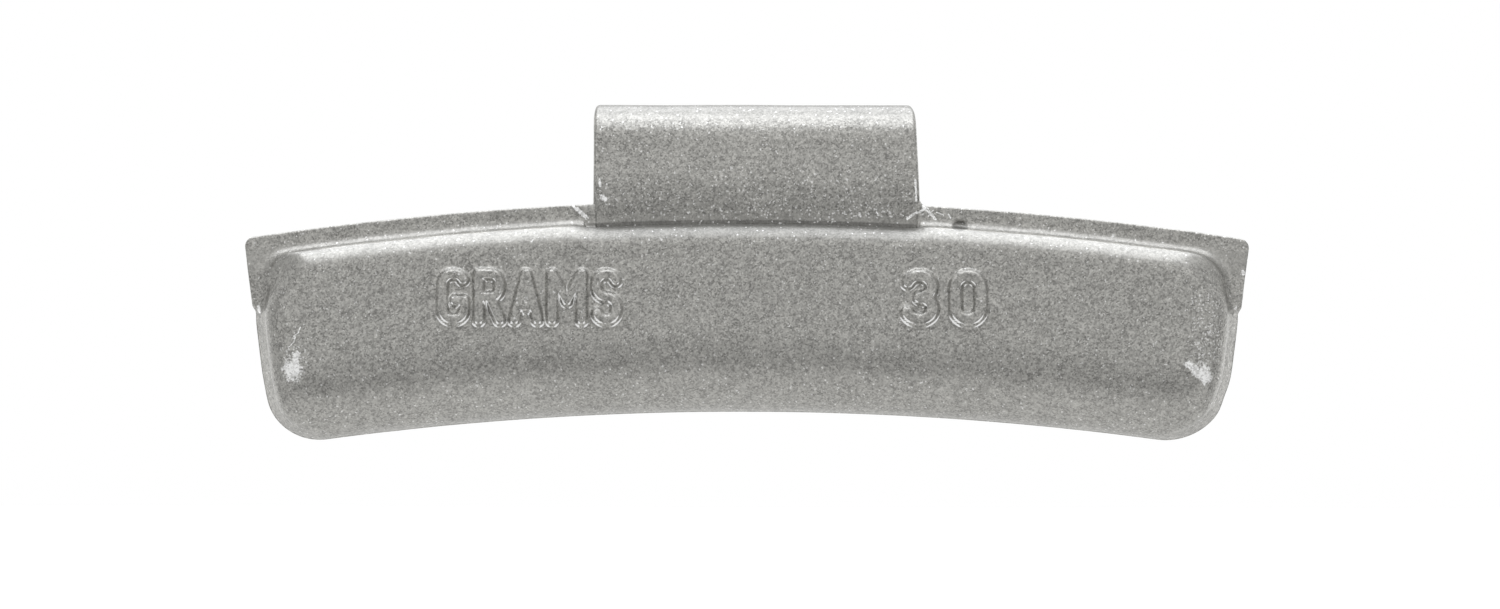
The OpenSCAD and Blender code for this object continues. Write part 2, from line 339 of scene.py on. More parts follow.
def flange_ring(c, inset):
    """Half a ring round the flange, drawn in by an inset. Below the flange's end it follows
    the boss's own outline, which is what shows there."""
    ring = boss_ring(c, inset, inset, inset)
    radius = max(c.flange_corner - inset, c.flange_corner / 3)
    r_out = c.rim_radius - inset
    tip = (c.half_length - inset / math.cos(c.end_slope), c.corner_z)
    top, top_arc = corner_arc(c, r_out - radius, radius, tip, c.end_slope)
    first = len(c.columns) + TANGENT_STEPS + CORNER_STEPS
    z = side_heights(c, ring[first - 1, 1], top_arc[0, 1])
    side = np.stack([slid(c, tip[0], z), z], -1)
    return np.concatenate([ring[:first], side, top_run(c, r_out, top, top_arc)])


def ring_weights(c):
    """Weights along half a ring: how far a point belongs to the lower edge, to the top edge
    and to the part of the outline that has the flange."""
    start = len(c.columns) + TANGENT_STEPS - 1
    side = start + CORNER_STEPS
    head = side + SIDE_STEPS
    count = head + CORNER_STEPS + TANGENT_STEPS - 1 + len(c.columns) + 1
    i = np.arange(count)
    lower = 1 - smooth((i - start) / CORNER_STEPS)
    upper = smooth((i - head) / CORNER_STEPS)
    flanged = smooth((i - side - FOOT_STEPS) / STEP_STEPS)
    return lower, upper, flanged


def lower_curve(c, base):
    """The lower rounding: an ellipse from the upright wall at depth base, whose width and
    height are found so that it ends at the lean strip's own slope. Returns half axes and
    the turn at which it ends."""
    slope = 2 * c.lean_depth / c.lean_height
    end = QUARTER - slope
    rise = c.thickness - c.lean_depth - base
    for _ in range(8):
        wide = c.lower_round / (1 - math.cos(end))
        high = rise / math.sin(end)
        end = QUARTER - math.atan(slope * wide / high)
    return wide, high, end


def face_depth(c, x, z):
    """Depth of the front face: flat, and below the lean radius falling off by a parabola."""
    radius = np.hypot(x, z - c.centre_z)
    drop = np.clip((c.lean_radius - radius) / c.lean_height, 0, None)
    return c.thickness - c.lean_depth * drop ** 2


def level_table(c):
    """Insets and depths of the first levels. The flanged outline goes round the back edge, up
    the wall and round the front edge. The outline below it goes round the back edge, up the
    wall and in to the parting ledge, with as many levels. The edges are quarter circles."""
    edge, ledge, flange = c.edge_round, c.parting_ledge, c.flange_thickness
    levels = []
    for turn_by in np.linspace(0, QUARTER, 4):
        inset = edge * (1 - math.sin(turn_by))
        depth = edge * (1 - math.cos(turn_by))
        levels.append((inset, depth, inset, depth))
    for t in np.linspace(0, 1, 6)[1:-1]:
        levels.append((0, edge + t * (flange - 2 * edge),
                       0, edge + t * (c.back_wall - 1.5 * edge)))
    for t in np.linspace(0, 1, 4):
        levels.append((edge * (1 - math.cos(t * QUARTER)),
                       flange - edge * (1 - math.sin(t * QUARTER)),
                       ledge * smooth(t), c.back_wall + ledge * (1.2 * t - 0.6)))
    return levels


def rise_table(c):
    """Levels above the flange's plane and, on the outline below it, above the parting ledge.
    Each has the share of the band that the flanged outline has crossed, insets and depths for
    the top, the ends and the lower edge, and how far a fillet still stands out at top and
    ends. They cross the band, climb the fillet and the straight wall, and end with the
    rounding, which is a quarter circle at the top and the ends."""
    base = c.back_wall + c.parting_ledge
    wide, high, end_turn = lower_curve(c, base)
    wall_end = c.thickness - c.end_round
    wall_top = c.thickness - c.top_round
    flange = c.flange_thickness
    rows = []

    def end_inset(depth):
        depth = min(depth, wall_end)
        return c.parting_ledge + c.end_draft * (depth - base) / (wall_end - base)

    def row(top_in, top_depth, end_depth, fillet=0, rounded=0):
        sine = (end_depth - base) / (c.thickness - base) * math.sin(end_turn)
        rows.append(SimpleNamespace(
            crossed=min((end_depth - base) / (flange - base), 1), fillet=fillet,
            top_in=top_in, top_depth=top_depth, end_depth=end_depth,
            wall_in=end_inset(max(end_depth, flange)) + rounded,
            plain_in=end_inset(end_depth) + rounded,
            low_in=c.parting_ledge + wide * (1 - math.sqrt(1 - sine ** 2)),
            low_depth=base + high * sine))

    for t in np.linspace(0, 1, 9)[1:]:
        row(0, flange, base + t * (flange - base), fillet=1)
    for turn_by in np.linspace(0, QUARTER, 9)[1:]:
        rise = 1 - math.cos(turn_by)
        row(0, flange + c.top_fillet * rise, flange + c.end_fillet * rise,
            fillet=1 - math.sin(turn_by))
    for t in np.linspace(0, 1, 4)[1:]:
        row(0, mix(t, flange + c.top_fillet, wall_top), mix(t, flange + c.end_fillet, wall_end))
    for turn_by in np.linspace(0, QUARTER, 21)[1:]:
        sine, inward = math.sin(turn_by), 1 - math.cos(turn_by)
        row(c.top_round * inward, wall_top + c.top_round * sine, wall_end + c.end_round * sine,
            rounded=c.end_round * inward)
    return rows


def filleted(c, row, outline):
    """The boss's ring with its fillet standing out towards the flange's edge. Where the band
    is narrow the fillet takes up only a share of it. Well above the flange's end the profile
    of the boss's own end turns into one soft rise: the inverse of smoothstep, by depth."""
    top_out = row.top_in - c.top_fillet * row.fillet
    wall = boss_ring(c, row.top_in, row.wall_in, row.low_in)
    out = boss_ring(c, top_out, row.wall_in - c.end_fillet * row.fillet, row.low_in)
    room = np.hypot(*(outline - wall).T)
    fits = np.clip(0.75 * room / c.end_fillet, 0, 1)[:, None]
    risen = np.clip(above_flange(c, row.end_depth), 0, 1)
    crossed = 0.5 - math.sin(math.asin(1 - 2 * risen) / 3)
    whole = c.parting_ledge + c.end_draft + c.end_round
    soft = boss_ring(c, top_out, mix(crossed, -c.end_fillet, whole), row.low_in)
    ease = c.ease * within(wall[:, 1:], c.flange_end_z + 0.3, 5.2, 2.6, 2.0)
    return mix(ease, wall + fits * (out - wall), soft)


def above_flange(c, depth):
    """How far a depth has come from the flange's plane, 0, to the face, 1."""
    return (depth - c.flange_thickness) / (c.thickness - c.flange_thickness)


def casting_rings(c):
    """All levels of the right-hand half: a grid of points (x, depth, z). A ring is the mix of
    the flange's outline and the boss's own, and its depths are the mix of those at the lower
    edge, the ends and the top. Depths above the flange also follow the face's leaning strip,
    by the fourth power of how far they have come to the face."""
    lower, upper, flanged = ring_weights(c)
    outline = flange_ring(c, c.edge_round)
    levels = [(flange_ring(c, flange_in), flange_depth, boss_ring(c, *[plain_in] * 3), plain_depth)
              for flange_in, flange_depth, plain_in, plain_depth in level_table(c)]
    first_risen = len(levels)
    for row in rise_table(c):
        boss = filleted(c, row, outline)
        levels.append((
            outline + row.crossed * (boss - outline),
            mix(upper, max(row.end_depth, c.flange_thickness), row.top_depth),
            boss_ring(c, row.top_in, row.plain_in, row.low_in),
            lower * row.low_depth + (1 - lower - upper) * row.end_depth + upper * row.top_depth))
    rings = []
    for flange, flange_depth, plain, plain_depth in levels:
        x, z = mix(flanged, plain.T, flange.T)
        rings.append(np.stack([x, mix(flanged, plain_depth, flange_depth), z], -1))
    rings = np.array(rings)
    x, depth, z = rings[-1].T
    risen = rings[first_risen:, :, 1]
    risen += (face_depth(c, x, z) - depth) * np.clip(above_flange(c, risen), 0, 1) ** 4
    return rings


def both_halves(c):
    """Closed rings: the right half, and the mirror image of one with the left corners'
    radii. The first and last points are shared."""
    ends = [(c.right_corner, c.right_foot, c.right_ease),
            (c.left_corner, c.left_foot, c.left_ease)]
    right, left = (
        casting_rings(SimpleNamespace(**vars(c), upper_corner=upper, lower_corner=lower, ease=ease))
        for upper, lower, ease in ends)
    return np.concatenate([right, left[:, -2:0:-1] * np.array([-1, 1, 1])], axis=1)


def grid_quads(index):
    """Quads between the neighbours of a grid of vertex numbers."""
    return np.stack([index[:-1, :-1], index[:-1, 1:], index[1:, 1:], index[1:, :-1]],
                    -1).reshape(-1, 4)


def front_patch(c, ring, start):
    """The front face inside the last ring: a patch blended from its four sides. A point is
    the mix of lower and upper side, plus each end's own bulge from its chord, faded out
    within a few millimetres. Returns the inner points and the quads."""
    fade_length = 9.0
    n = len(ring)
    half = n // 2
    columns = len(c.columns) - 1 + TANGENT_STEPS + CORNER_STEPS // 2
    rows = CORNER_STEPS + SIDE_STEPS
    order = np.arange(-columns, columns + 1)
    lower = order % n
    upper = (half - order) % n
    right = np.arange(columns, columns + rows + 1)
    left = (n - right) % n
    plan = ring[:, [0, 2]]
    step = np.hypot(*np.diff(plan[right], axis=0).T)
    v = np.concatenate([[0], np.cumsum(step)]) / step.sum()
    flat = mix(v[:, None, None], plan[lower], plan[upper])
    x_low = plan[lower, 0]
    for end, side in ((right, 1), (left, -1)):
        chord = mix(v[:, None], plan[end[0]], plan[end[-1]])
        near = smooth(1 - side * (plan[end[0], 0] - x_low) / fade_length)
        flat += near[None, :, None] * (plan[end] - chord)[:, None]
    index = np.empty((rows + 1, 2 * columns + 1), int)
    index[0], index[-1] = lower, upper
    index[:, -1], index[:, 0] = right, left
    index += start
    inner = flat[1:-1, 1:-1].reshape(-1, 2)
    index[1:-1, 1:-1] = start + n + np.arange(len(inner)).reshape(rows - 1, -1)
    points = np.stack([inner[:, 0], face_depth(c, inner[:, 0], inner[:, 1]), inner[:, 1]], -1)
    return points, grid_quads(index)


def back_strip(ring_size):
    """Triangles across the flat back, between lower and upper points at like places. The
    strip ends in points, so its triangles with two corners in one place are left out."""
    half = ring_size // 2
    low = np.arange(half // 2)
    triangles = []
    for sign in (1, -1):
        a, b = sign * low, sign * (low + 1)
        d, e = half - sign * low, half - sign * (low + 1)
        quads = np.stack([a, d, e, b], -1) % ring_size
        if sign < 0:
            quads = quads[:, ::-1]
        triangles += [quads[:, [0, 1, 2]], quads[:, [0, 2, 3]]]
    triangles = np.concatenate(triangles)
    distinct = (triangles[:, 0] != triangles[:, 1]) & (triangles[:, 1] != triangles[:, 2])
    return triangles[distinct & (triangles[:, 0] != triangles[:, 2])]


def seat_for_clip(c, clip, points):
    """Sinks the flange under the strip, so that the strip's front lies flush with it, lets the
    boss's top sag there, and raises a small web of zinc against the strip's right edge: a
    quarter circle's hollow."""
    x, depth, z = points.T
    left, right = clip.shift - clip.width / 2, clip.shift + clip.width / 2
    beyond = np.hypot(x, z - c.centre_z) - c.boss_radius
    flange, margin, blend = c.flange_thickness, 0.22, 0.5
    sunk = np.interp(depth, [0, flange, flange + blend, 10],
                     [0, flange - clip.thickness / 2, flange + blend, 10])
    under = within(x, left + margin, right - margin, 0.08, 0.08)
    flush = np.where(beyond > -0.01, mix(under, depth, sunk), depth)
    lowered = within(x, left - 0.7, right, 0.25, 0.12) * smooth((depth - flange) / 0.02)
    sagging = within(x, left - 1.5, right + 0.7, 1.5, 1.5) * (depth > flange - 0.01)
    z = z - np.clip(beyond, 0, None) * lowered
    z = z - c.sag * sagging * smooth((beyond + 2.6) / 1.6)
    away = np.clip(x - right, 0, c.web_round)
    hollow = c.web_round - np.sqrt(c.web_round ** 2 - (c.web_round - away) ** 2)
    beside = smooth((x - right + 0.3) / 0.25) * (x < right + c.web_round)
    outer = smooth((beyond - c.flange_band + 2 * c.edge_round) / c.edge_round)
    z = z + hollow * beside * outer * smooth((flush - 0.35) / 0.3)
    return np.stack([x, flush, z], -1)


def blow_hole(c, points):
    """A shallow pit in the crease: a paraboloid of depth over an oval on the front."""
    x, depth, z = points.T
    u = (x - PIT_CENTRE[0]) / PIT_HALF[0]
    v = (z - PIT_CENTRE[1]) / PIT_HALF[1]
    hollow = np.clip(1 - u ** 2 - v ** 2, 0, 1)
    near_crease = (depth > c.flange_thickness - 0.05) & (depth < 2.6)
    return np.stack([x, depth - PIT_DEPTH * hollow * near_crease, z], -1)


def drawn_in_feet(c, points):
    """Draws both ends in a little above their lower corners: a bell of depth over height."""
    x, depth, z = points.T
    bell = np.exp(-((z - c.foot_z) / 1.1) ** 2)
    end = smooth((np.abs(x) - c.half_length + 6) / 3)
    inward = np.where(x > 0, c.right_draw, c.left_draw) * bell * end
    return np.stack([x - np.sign(x) * inward, depth, z], -1)


def ripple(points, wavelength, seed):
    """Smooth unevenness: a mean of sine waves with seeded directions, lengths and phases."""
    waves = 14
    rng = np.random.default_rng(seed)
    direction = rng.normal(size=(waves, 3))
    direction /= np.linalg.norm(direction, axis=1, keepdims=True)
    frequency = math.tau / (wavelength * rng.uniform(0.6, 1.6, waves))
    phase = rng.uniform(0, math.tau, waves)
    return np.sin(points @ (direction * frequency[:, None]).T + phase).sum(1) / math.sqrt(waves)


def corner_normals(points, quads, triangles):
    """Unit normals at the vertices: the sum of the neighbouring faces' area vectors."""
    faces = np.concatenate([quads[:, [0, 1, 2]], quads[:, [0, 2, 3]], triangles])
    a, b, c = (points[faces[:, k]] for k in range(3))
    area = np.cross(b - a, c - a)
    normals = np.zeros_like(points)
    for k in range(3):
        np.add.at(normals, faces[:, k], area)
    return normals / np.maximum(np.linalg.norm(normals, axis=1, keepdims=True), 1e-12)


def put_mesh(name, points, quads, triangles):
    """Puts points in millimetres and their faces into a new mesh object at the origin."""
    mesh = bpy.data.meshes.new(name)
    faces = [*quads.tolist(), *triangles.tolist()]
    mesh.from_pydata(points * MM, [], faces, shade_flat=False)
    if mesh.validate():
        raise RuntimeError(f"the mesh of {name} had faulty faces")
    piece = bpy.data.objects.new(name, mesh)
    bpy.context.scene.collection.objects.link(piece)
    return piece


def hand_over(piece, node):
    """The piece stands for a CAD node, rides with it and stays inside its box."""
    low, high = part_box(node)
    co = np.empty(len(piece.data.vertices) * 3, np.float32)
    piece.data.vertices.foreach_get("co", co)
    co = co.reshape(-1, 3)
    slack = BOX_SLACK * MM
    if (co.min(0) < np.array(low) - slack).any() or (co.max(0) > np.array(high) + slack).any():
        raise RuntimeError(f"{piece.name} leaves the box of {node}: {co.min(0)} {co.max(0)}")
    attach(piece, BODY)
    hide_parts(node)


def curve(centre, radii, first, last, steps=14):
    """Points of an ellipse's arc, with angles in degrees from +X towards +Z."""
    turns = np.radians(np.linspace(first, last, steps + 1))
    return np.stack([centre[0] + radii[0] * np.cos(turns),
                     centre[1] + radii[1] * np.sin(turns)], -1)


def strokes_of(character, w, h):
    """Centre lines of a character's strokes in a cell of width w and height h."""
    r = w / 2
    low, high, cross = h / 4, 3 * h / 4, h * 0.42
    foot = curve((r, r), (r, r), 180, 360)
    lines = {
        "0": [[*curve((r, h - r), (r, r), 0, 180), *foot, (w, h - r)]],
        "3": [[*curve((r, high), (r * 0.94, low), 158, -90), *curve((r, low), (r, low), 90, -158)]],
        "G": [[*curve((r, h - r), (r, r), 28, 180), *foot, (w, cross), (w * 0.56, cross)]],
        "R": [[(0, 0), (0, h), *curve((w * 0.6, high), (w * 0.4, low), 90, -90), (0, h / 2)],
              [(r, h / 2), (w, 0)]],
        "A": [[(0, 0), (r, h), (w, 0)], [(w * 0.16, h * 0.3), (w * 0.84, h * 0.3)]],
        "M": [[(0, 0), (0, h), (r, cross), (w, h), (w, 0)]],
        "S": [[*curve((r, high), (r, low), 25, 270), *curve((r, low), (r, low), 90, -155)]],
    }
    return [np.array(line) for line in lines[character]]


WIDTHS = {"G": 2.35, "R": 2.3, "A": 2.45, "M": 2.9, "S": 2.25, "3": 2.78, "0": 2.72}
GAPS = {"word": 0.24, "figure": 0.72}


def word_strokes(text, left, base, height, stroke, gap):
    """Segments of all strokes of a word, set out from left to right along the base line."""
    starts, ends = [], []
    x = left
    for character in text:
        width = WIDTHS[character]
        for line in strokes_of(character, width - stroke, height - stroke):
            placed = line + np.array([x + stroke / 2, base + stroke / 2])
            starts.append(placed[:-1])
            ends.append(placed[1:])
        x += width + gap
    return np.concatenate(starts), np.concatenate(ends)


def distance_to(points, starts, ends):
    """Distance from each point to the nearest of the segments."""
    along = ends - starts
    size = np.maximum((along ** 2).sum(1), 1e-12)
    nearest = np.full(len(points), np.inf)
    for start, step, square in zip(starts, along, size):
        t = np.clip((points - start) @ step / square, 0, 1)
        gap = np.hypot(*(points - start - t[:, None] * step).T)
        nearest = np.minimum(nearest, gap)
    return nearest


def relief(letters, points):
    """Height of the characters over the face: full on a stroke, with soft sloping sides."""
    words = [(letters.unit_word, letters.unit_left, GAPS["word"], letters.stroke * 0.86),
             (letters.mass_figure, letters.mass_left, GAPS["figure"], letters.stroke)]
    height = np.zeros(len(points))
    for text, left, gap, stroke in words:
        starts, ends = word_strokes(text, left, letters.base, letters.figure_height, stroke, gap)
        off = distance_to(points[:, [0, 2]], starts, ends)
        side = (stroke / 2 + letters.soft_edge / 2 - off) / letters.soft_edge
        height = np.maximum(height, letters.relief * smooth(side))
    return height


def casting_mesh(c, clip, letters):
    """The whole closed surface of the casting: rings from back to front, the front patch
    with its characters and the back strip, with a soft ripple along the normals."""
    rings = both_halves(c)
    levels, size, _ = rings.shape
    index = np.arange(levels * size).reshape(levels, size)
    wrapped = np.concatenate([index, index[:, :1]], axis=1)
    sides = grid_quads(wrapped)
    start = (levels - 1) * size
    inner, front = front_patch(c, rings[-1], start)
    points = np.concatenate([rings.reshape(-1, 3), inner])
    points = seat_for_clip(c, clip, points)
    points = blow_hole(c, points)
    points = drawn_in_feet(c, points)
    face = points[:, 1] > c.thickness - 1
    points[face, 1] += relief(letters, points[face])
    placed = points * np.array([1, -1, 1])
    quads = np.concatenate([sides, front])
    triangles = back_strip(size)
    normals = corner_normals(placed, quads, triangles)
    waves = ripple(placed, 5.0, 11) * 0.6 + ripple(placed, 1.8, 12) * 0.4
    loose = smooth((points[:, 1] - 0.15) / 0.3) * c.ripple
    return placed + normals * (waves * loose - loose)[:, None], quads, triangles


def along_arc(start, size, turned, t):
    """Place and direction at a length t along an arc of a size that turns by an angle, or
    along a line where that is 0. The chord to a point is its arc times the sine of half the
    turn over half the turn."""
    y, z, angle = start
    turned = turned * t / size
    chord = t * np.sinc(turned / math.tau)
    middle = angle + turned / 2
    return y + chord * np.cos(middle), z + chord * np.sin(middle), angle + turned


def strip_path(k, flange_front, top_z):
    """The strip's middle line in the Y-Z plane, with its direction: up the front leg, round
    the bend, down the free leg, round the flare and along the tip."""
    half = k.thickness / 2
    root = top_z - k.root_depth
    bend = math.pi + k.leg_angle
    flare = k.leg_angle + k.flare_angle
    closing = (k.bend_radius - flange_front - k.pinch_gap
               + (k.bend_radius - k.thickness) * math.cos(k.leg_angle)
               - (k.flare_radius + k.thickness) * (1 - math.cos(k.leg_angle)))
    pieces = [(top_z + k.rise - k.bend_radius - root, 0), ((k.bend_radius - half) * bend, -bend),
              (closing / math.sin(k.leg_angle), 0), ((k.flare_radius + half) * flare, flare),
              (k.tip_length, 0)]
    total = sum(size for size, _ in pieces)
    round_rows = total - k.tip_corner * (1 - np.sin(np.linspace(0, QUARTER, 22)[1:]))
    s = np.concatenate([np.linspace(0, total - k.tip_corner, 176), round_rows])
    path = np.empty((3, len(s)))
    start = (half - flange_front, root, QUARTER)
    begin = 0
    for size, turned in pieces:
        beyond = s >= begin
        path[:, beyond] = along_arc(start, size, turned, s[beyond] - begin)
        start = along_arc(start, size, turned, size)
        begin += size
    return s, *path


def strip_edges(k, s, z, crest_z, top_z):
    """Left and right edge of the strip along its path: straight on the left, drawn in on the
    right towards the crest, softly narrower at the crest and round at the tip."""
    at_crest = s[np.argmax(z)]
    near_crest = np.exp(-((s - at_crest) / 1.1) ** 2)
    left = k.shift - k.width / 2 + 0.10 * near_crest
    rise = np.clip((z - top_z) / (crest_z - top_z), 0, 1)
    right = k.shift + k.width / 2 - k.taper * rise - 0.22 * near_crest
    back = np.clip(1 - (s[-1] - s) / k.tip_corner, 0, 1)
    corner = k.tip_corner * (1 - np.sqrt(np.clip(1 - back ** 2, 0, 1)))
    return left + corner, right - corner


def section(k):
    """A rectangle across the strip whose corners are quarter circles: its points' shares of
    the width, and what they stand sideways and outward from there. It runs along the inner
    face to the right and back along the outer one."""
    half, outer, inner = k.thickness / 2, k.outer_edge, k.inner_edge
    across = np.linspace(0, 1, 56)
    back = across[::-1]
    turns = np.linspace(0, QUARTER, 7)
    late, early = turns[1:], turns[:-1]
    runs = [
        (across, inner * (1 - 2 * across), -half),
        (1, inner * (np.sin(late) - 1), inner * (1 - np.cos(late)) - half),
        (1, outer * (np.cos(early) - 1), outer * (np.sin(early) - 1) + half),
        (back, outer * (1 - 2 * back), half),
        (0, outer * (1 - np.sin(late)), outer * (np.cos(late) - 1) + half),
        (0, inner * (1 - np.cos(early)), inner * (1 - np.sin(early)) - half),
    ]
    return np.concatenate([np.stack(np.broadcast_arrays(*run)) for run in runs], axis=1)


def clip_mesh(k, c):
    """The strip: its section carried along the path, with a rounded tip and closed ends. Its
    front leg bows forward by a squared sine of the height, and it has the casting's ripple."""
    bow_foot, bow_height = 6.1, 5.8
    tip_bulge, tip_edge = 0.06, 0.3
    s, y, z, a = strip_path(k, c.flange_thickness, c.top_z)
    left, right = strip_edges(k, s, z, c.top_z + k.rise - k.thickness / 2, c.top_z)
    share_x, off_x, off_n = section(k)
    x = left[:, None] + (right - left)[:, None] * share_x + off_x
    y = y[:, None] - np.sin(a)[:, None] * off_n
    z = z[:, None] + np.cos(a)[:, None] * off_n
    bow = np.sin(np.clip((z - bow_foot) / bow_height, 0, 1) * math.pi) ** 2 * (y < 0.2)
    grid = np.stack([x, y - k.bow * bow, z], -1)
    middle = grid[-1].mean(axis=0)
    onward = np.array([0, math.cos(a[-1]), math.sin(a[-1])])
    outward = np.array([0, -math.sin(a[-1]), math.cos(a[-1])])
    flat = (grid[-1] - middle) @ outward
    caps = []
    for phi in np.linspace(0, QUARTER, 5)[1:]:
        drawn_in = tip_edge * (1 - math.cos(phi)) / (k.thickness / 2)
        caps.append(grid[-1] - np.outer(flat * drawn_in, outward)
                    + tip_bulge * (math.sin(phi) - 1) * onward)
    grid = np.concatenate([grid[:-1], np.array(caps)])
    rows, size, _ = grid.shape
    points = grid.reshape(-1, 3)
    index = np.arange(rows * size).reshape(rows, size)
    quads = [grid_quads(np.concatenate([index, index[:, :1]], axis=1))]
    pair = np.arange(size // 2 - 1)
    for base, turned in ((0, 1), ((rows - 1) * size, -1)):
        last = base + size - 1
        cap = np.stack([base + pair, last - pair, last - 1 - pair, base + pair + 1], -1)
        quads.append(cap[:, ::turned])
    quads = np.concatenate(quads)[:, ::-1]
    triangles = np.empty((0, 3), int)
    normals = corner_normals(points, quads, triangles)
    free = smooth((points[:, 2] - 7.4) / 0.5)
    waves = ripple(points, 6.0, 21) * 0.7 + ripple(points, 2.0, 22) * 0.3
    return points + normals * (c.ripple * 0.9 * (waves - 1) * free)[:, None], quads, triangles


def add_node(tree, kind, **values):
    node = tree.nodes.new(kind)
    for key, value in values.items():
        setattr(node, key, value)
    return node


def following(operation, output=0):
    """A method of a field that puts one step of arithmetic after it."""
    def method(field, other=None):
        return field.maths(operation, other, output)
    return method


class Field:
    """A number or vector that varies over a surface: an output of a shader tree. Arithmetic
    adds nodes to the tree, and its other side is a field or a constant. The larger of two
    masks is a | b. A number times a constant vector is a vector."""

    def __init__(self, tree, socket):
        self.tree = tree
        self.socket = socket

    def into(self, socket):
        """Feeds an input of a node."""
        self.tree.links.new(self.socket, socket)

    def maths(self, operation, other=None, output=0, **values):
        """One step of arithmetic with this field first. The node is plain or of vectors by
        what goes in."""
        plain = self.socket.type == "VALUE" and not isinstance(other, tuple)
        kind = "ShaderNodeMath" if plain else "ShaderNodeVectorMath"
        node = add_node(self.tree, kind, operation=operation, **values)
        self.into(node.inputs[0])
        if isinstance(other, Field):
            other.into(node.inputs[1])
        elif other is not None:
            node.inputs[1].default_value = other
        return Field(self.tree, node.outputs[output])

    __add__ = following("ADD")
    __sub__ = following("SUBTRACT")
    __mul__ = following("MULTIPLY")
    __or__ = following("MAXIMUM")
    __abs__ = following("ABSOLUTE")
    size = following("LENGTH", output=1)
    dot = following("DOT_PRODUCT", output=1)

    def __rsub__(self, other):
        return self * -1.0 + other

    def through(self, kind, result, constants, entry="Vector", **values):
        """A node of another kind, fed by this field and by constants."""
        node = add_node(self.tree, kind, **values)
        self.into(node.inputs[entry])
        for name, value in constants.items():
            node.inputs[name].default_value = value
        return Field(self.tree, node.outputs[result])

    def ramp(self, low, high, to_low=0.0, to_high=1.0):
        """Goes softly from one number to another between low and high."""
        ends = {"From Min": low, "From Max": high, "To Min": to_low, "To Max": to_high}
        return self.through("ShaderNodeMapRange", "Result", ends, entry="Value",
                            interpolation_type="SMOOTHSTEP")

    def noise(self, width, detail=2.0, roughness=0.5):
        """A noise pattern whose features are about a width in millimetres across."""
        return self.through("ShaderNodeTexNoise", "Fac", {
            "Scale": 1 / (width * MM), "Detail": detail, "Roughness": roughness})

    def cells(self, width):
        """The random colours of irregular cells about a width in millimetres across."""
        return self.through("ShaderNodeTexVoronoi", "Color", {"Scale": 1 / (width * MM)})

    def parts(self, kind):
        """The three numbers of a place (XYZ) or of a colour (Color)."""
        node = add_node(self.tree, f"ShaderNodeSeparate{kind}")
        self.into(node.inputs[0])
        return [Field(self.tree, output) for output in node.outputs]

    def away_from(self, centre, half=(1, 1)):
        """Distance of a place from a centre (X, Z) in units of two half sizes, all in
        millimetres, with Y left out."""
        offset = self - (centre[0] * MM, 0, centre[1] * MM)
        return (offset * (1 / (half[0] * MM), 0, 1 / (half[1] * MM))).size()


def surface(tree, c):
    """Fields of a place on a piece: X, Z and the distance from the shared centre, all in
    millimetres, the normal, and a mask of the part's front."""
    place = Field(tree, add_node(tree, "ShaderNodeTexCoord").outputs["Object"])
    x, y, z = (metres * (1 / MM) for metres in place.parts("XYZ"))
    return SimpleNamespace(
        place=place, x=x, z=z, radius=place.away_from((0, c.centre_z)),
        normal=Field(tree, add_node(tree, "ShaderNodeNewGeometry").outputs["Normal"]),
        front=y.ramp(-0.9, -0.6, 1, 0))


def rubbed(s, marks_and_glints):
    """Mask of small rubbed spots on the front, and of the painted glints at the casting's lower
    corners: within an uneven width of a segment. The segment's nearest point is its start plus t
    times its direction, with t from 0 to 1."""
    edge = s.place.noise(0.22, detail=3, roughness=0.7) - 0.5
    flat = s.place * (1, 0, 1)
    total = None
    for (x0, z0), (x1, z1), width in marks_and_glints:
        along = ((x1 - x0) * MM, 0, (z1 - z0) * MM)
        offset = flat - (x0 * MM, 0, z0 * MM)
        t = offset.dot(along).maths("DIVIDE", along[0] ** 2 + along[2] ** 2, use_clamp=True)
        gap = (offset - t * along).size() + edge * (width * MM * 3.0)
        mask = gap.ramp(width * MM * 0.7, width * MM * 1.3, 1, 0)
        total = mask if total is None else total | mask
    return total * s.front


# Rubbed spots, and at the casting's lower corners painted glints, as two ends and a half width, and
# glittering spots as a centre, half sizes and the share of flakes that shine there: X and Z in
# millimetres, measured from the photograph.
CASTING_WEAR_AND_GLINTS = [
    ((-12.42, 7.12), (-11.58, 6.33), 0.085),
    ((-12.12, 7.02), (-11.35, 6.30), 0.05),
    ((12.62, 7.12), (13.45, 6.30), 0.095),
    ((12.05, 6.62), (12.80, 7.02), 0.07),
    ((12.55, 7.20), (12.95, 7.00), 0.06),
    ((12.95, 7.00), (13.10, 6.75), 0.04),
    ((12.95, 6.45), (13.30, 6.90), 0.035),
    ((13.55, 6.75), (14.05, 6.55), 0.04),
    ((14.40, 6.60), (14.55, 6.35), 0.05),
    ((-34.92, -0.10), (-34.85, -0.45), 0.10),
    ((35.45, 2.60), (35.50, 2.35), 0.10),
    ((34.98, 0.05), (34.94, -0.10), 0.08),
    # Painted glints: the next two are bright reflections at the lower left corner, painted in the
    # rubbed-through colour.
    ((-32.42, -4.55), (-32.36, -4.70), 0.62),
    ((-32.10, -3.50), (-32.20, -4.00), 0.26),
    ((-31.82, -1.55), (-31.98, -1.95), 0.035),
    ((-31.98, -1.95), (-32.30, -2.20), 0.03),
    ((-32.20, -2.25), (-32.28, -2.60), 0.04),
    ((-32.28, -2.60), (-32.62, -2.95), 0.03),
    # Painted glints: these two are bright reflections at the lower right corner, painted in the
    # rubbed-through colour.
    ((31.55, -4.10), (32.70, -5.20), 0.30),
    ((32.50, -4.70), (32.65, -4.90), 0.48),
]
